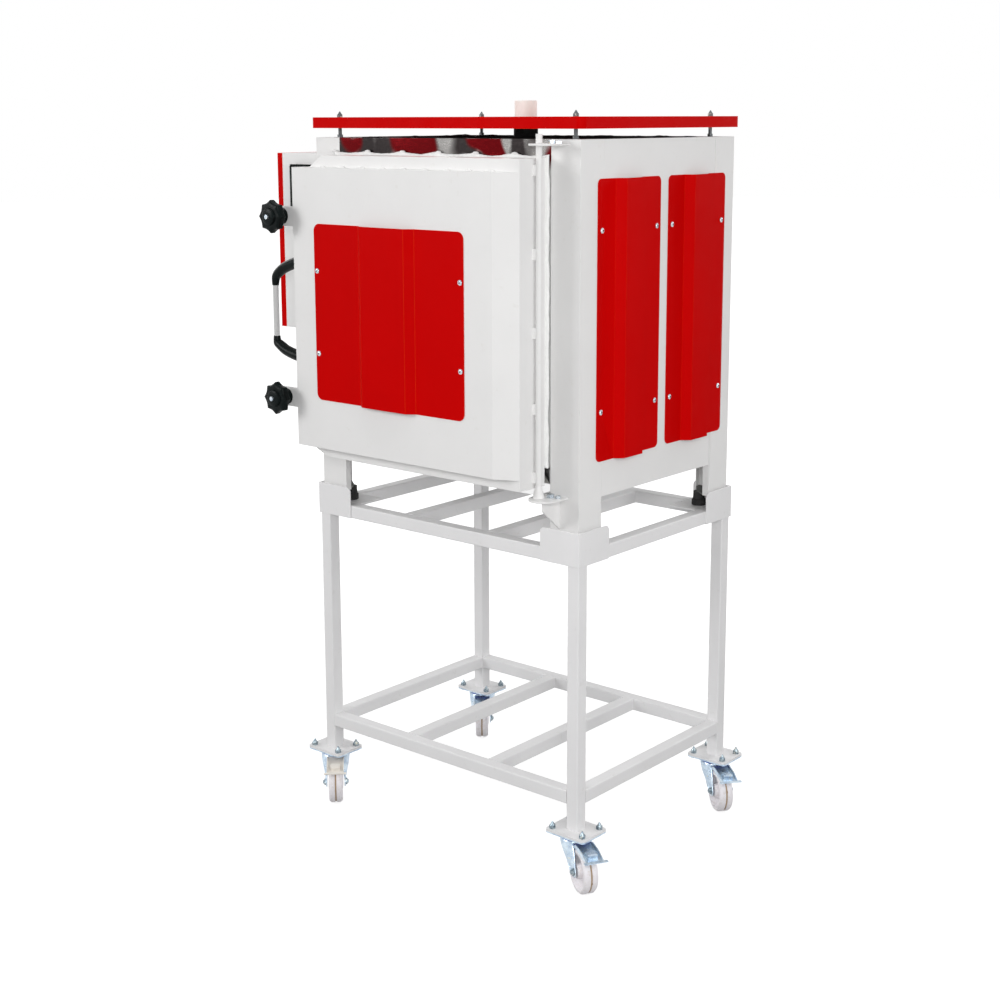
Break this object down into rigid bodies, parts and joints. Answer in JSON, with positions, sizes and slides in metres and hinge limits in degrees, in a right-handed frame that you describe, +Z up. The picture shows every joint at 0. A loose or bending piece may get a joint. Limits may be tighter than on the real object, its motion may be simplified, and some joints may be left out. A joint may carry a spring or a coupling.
{
  "type": "ceramic kiln on stand",
  "caption": "Front opening electric kiln with a side hinged door, red vented covers and a roof plate, on a welded tube stand with braked castors.",
  "frame": {"origin": "bottom centre of the bounding box, on the floor under the wheels", "axes": "+X to the kiln's right, +Y to its back, +Z up; the door faces -Y"},
  "size_m": [0.9922, 0.7604, 1.6565],
  "materials": {
    "stand_grey": "satin",
    "shell_white": "fine texture",
    "red_paint": "satin",
    "black_top": "matte",
    "mirror_steel": "polished",
    "zinc": "blue passivated",
    "rubber": "matte",
    "nylon": "moulded",
    "black_plastic": "moulded",
    "grip_grey": "satin",
    "firebrick": "porous insulating firebrick",
    "fibre_board": "ceramic fibre board",
    "fibre_blanket": "ceramic fibre blanket",
    "element_wire": "oxidised",
    "ceramic_tube": "unglazed"
  },
  "bodies": {
    "kiln": {"stand_legs": "stand_grey", "upper_rails": "stand_grey", "lower_rails": "stand_grey", "corner_pockets": "stand_grey", "castor_plates": "stand_grey", "castor_heads": "zinc", "castor_bolts": "zinc", "rubber_feet": "rubber", "corner_posts": "shell_white", "right_panel": "shell_white", "left_panel": "shell_white", "back_panel": "shell_white", "bottom_panel": "shell_white", "top_panel": "black_top", "front_plate": "mirror_steel", "floor_lining": "firebrick", "roof_lining": "firebrick", "side_linings": "firebrick", "back_lining": "firebrick", "elements": "element_wire", "thermocouple": "ceramic_tube", "vent_tube": "ceramic_tube", "vent_collar": "black_top", "roof_plate": "red_paint", "roof_standoffs": "zinc", "side_covers": "red_paint", "cover_screws": "zinc", "control_housing": "shell_white", "control_lid": "red_paint", "door_switch": "black_plastic", "hinge_brackets": "shell_white", "bracket_nuts": "zinc", "latch_catches": "zinc"},
    "door": {"door_skin": "shell_white", "door_frame": "shell_white", "door_plug": "fibre_board", "door_seal": "fibre_blanket", "door_panel": "red_paint", "panel_screws": "zinc", "hinge_rod": "shell_white", "hinge_lugs": "shell_white", "latch_ears": "shell_white", "handle_grip": "grip_grey", "handle_elbows": "black_plastic"},
    "latch_upper": {"knob_upper": "black_plastic", "stud_upper": "zinc"},
    "latch_lower": {"knob_lower": "black_plastic", "stud_lower": "zinc"},
    "castor_fr": {"castor_fork_fr": "zinc"},
    "wheel_fr": {"castor_wheel_fr": "nylon"},
    "pedal_fr": {"castor_pedal_fr": "zinc"},
    "castor_fl": {"castor_fork_fl": "zinc"},
    "wheel_fl": {"castor_wheel_fl": "nylon"},
    "pedal_fl": {"castor_pedal_fl": "zinc"},
    "castor_br": {"castor_fork_br": "zinc"},
    "wheel_br": {"castor_wheel_br": "nylon"},
    "pedal_br": {"castor_pedal_br": "zinc"},
    "castor_bl": {"castor_fork_bl": "zinc"},
    "wheel_bl": {"castor_wheel_bl": "nylon"},
    "pedal_bl": {"castor_pedal_bl": "zinc"}
  },
  "joints": [
    {"name": "door_hinge", "type": "hinge", "parent": "kiln", "child": "door", "pos_m": [0.31587, -0.25688, 0.8675], "axis": [0, 0, 1], "range_deg": [0, 135]},
    {"name": "latch_upper_turn", "type": "hinge", "parent": "door", "child": "latch_upper", "pos_m": [-0.35763, -0.32988, 1.4055], "axis": [0, 1, 0], "continuous": true},
    {"name": "latch_lower_turn", "type": "hinge", "parent": "door", "child": "latch_lower", "pos_m": [-0.35763, -0.32988, 0.9985], "axis": [0, 1, 0], "continuous": true},
    {"name": "swivel_fr", "type": "hinge", "parent": "kiln", "child": "castor_fr", "pos_m": [0.37987, -0.20738, 0.1105], "axis": [0, 0, 1], "continuous": true},
    {"name": "roll_fr", "type": "hinge", "parent": "castor_fr", "child": "wheel_fr", "pos_m": [0.4193, -0.23107, 0.0485], "axis": [0.515, 0.8572, 0], "continuous": true},
    {"name": "brake_fr", "type": "hinge", "parent": "castor_fr", "child": "pedal_fr", "pos_m": [0.41073, -0.22592, 0.1042], "axis": [0.515, 0.8572, 0], "range_deg": [0, 8]},
    {"name": "swivel_fl", "type": "hinge", "parent": "kiln", "child": "castor_fl", "pos_m": [-0.35513, -0.20738, 0.1105], "axis": [0, 0, 1], "continuous": true},
    {"name": "roll_fl", "type": "hinge", "parent": "castor_fl", "child": "wheel_fl", "pos_m": [-0.3226, -0.2399, 0.0485], "axis": [0.7071, 0.7071, 0], "continuous": true},
    {"name": "brake_fl", "type": "hinge", "parent": "castor_fl", "child": "pedal_fl", "pos_m": [-0.32967, -0.23283, 0.1042], "axis": [0.7071, 0.7071, 0], "range_deg": [0, 8]},
    {"name": "swivel_br", "type": "hinge", "parent": "kiln", "child": "castor_br", "pos_m": [0.37987, 0.33762, 0.1105], "axis": [0, 0, 1], "continuous": true},
    {"name": "roll_br", "type": "hinge", "parent": "castor_br", "child": "wheel_br", "pos_m": [0.41587, 0.30899, 0.0485], "axis": [0.6225, 0.7826, 0], "continuous": true},
    {"name": "brake_br", "type": "hinge", "parent": "castor_br", "child": "pedal_br", "pos_m": [0.40805, 0.31521, 0.1042], "axis": [0.6225, 0.7826, 0], "range_deg": [0, 8]},
    {"name": "swivel_bl", "type": "hinge", "parent": "kiln", "child": "castor_bl", "pos_m": [-0.35513, 0.33762, 0.1105], "axis": [0, 0, 1], "continuous": true},
    {"name": "roll_bl", "type": "hinge", "parent": "castor_bl", "child": "wheel_bl", "pos_m": [-0.32556, 0.30239, 0.0485], "axis": [0.766, 0.6428, 0], "continuous": true},
    {"name": "brake_bl", "type": "hinge", "parent": "castor_bl", "child": "pedal_bl", "pos_m": [-0.33199, 0.31005, 0.1042], "axis": [0.766, 0.6428, 0], "range_deg": [0, 8]}
  ]
}
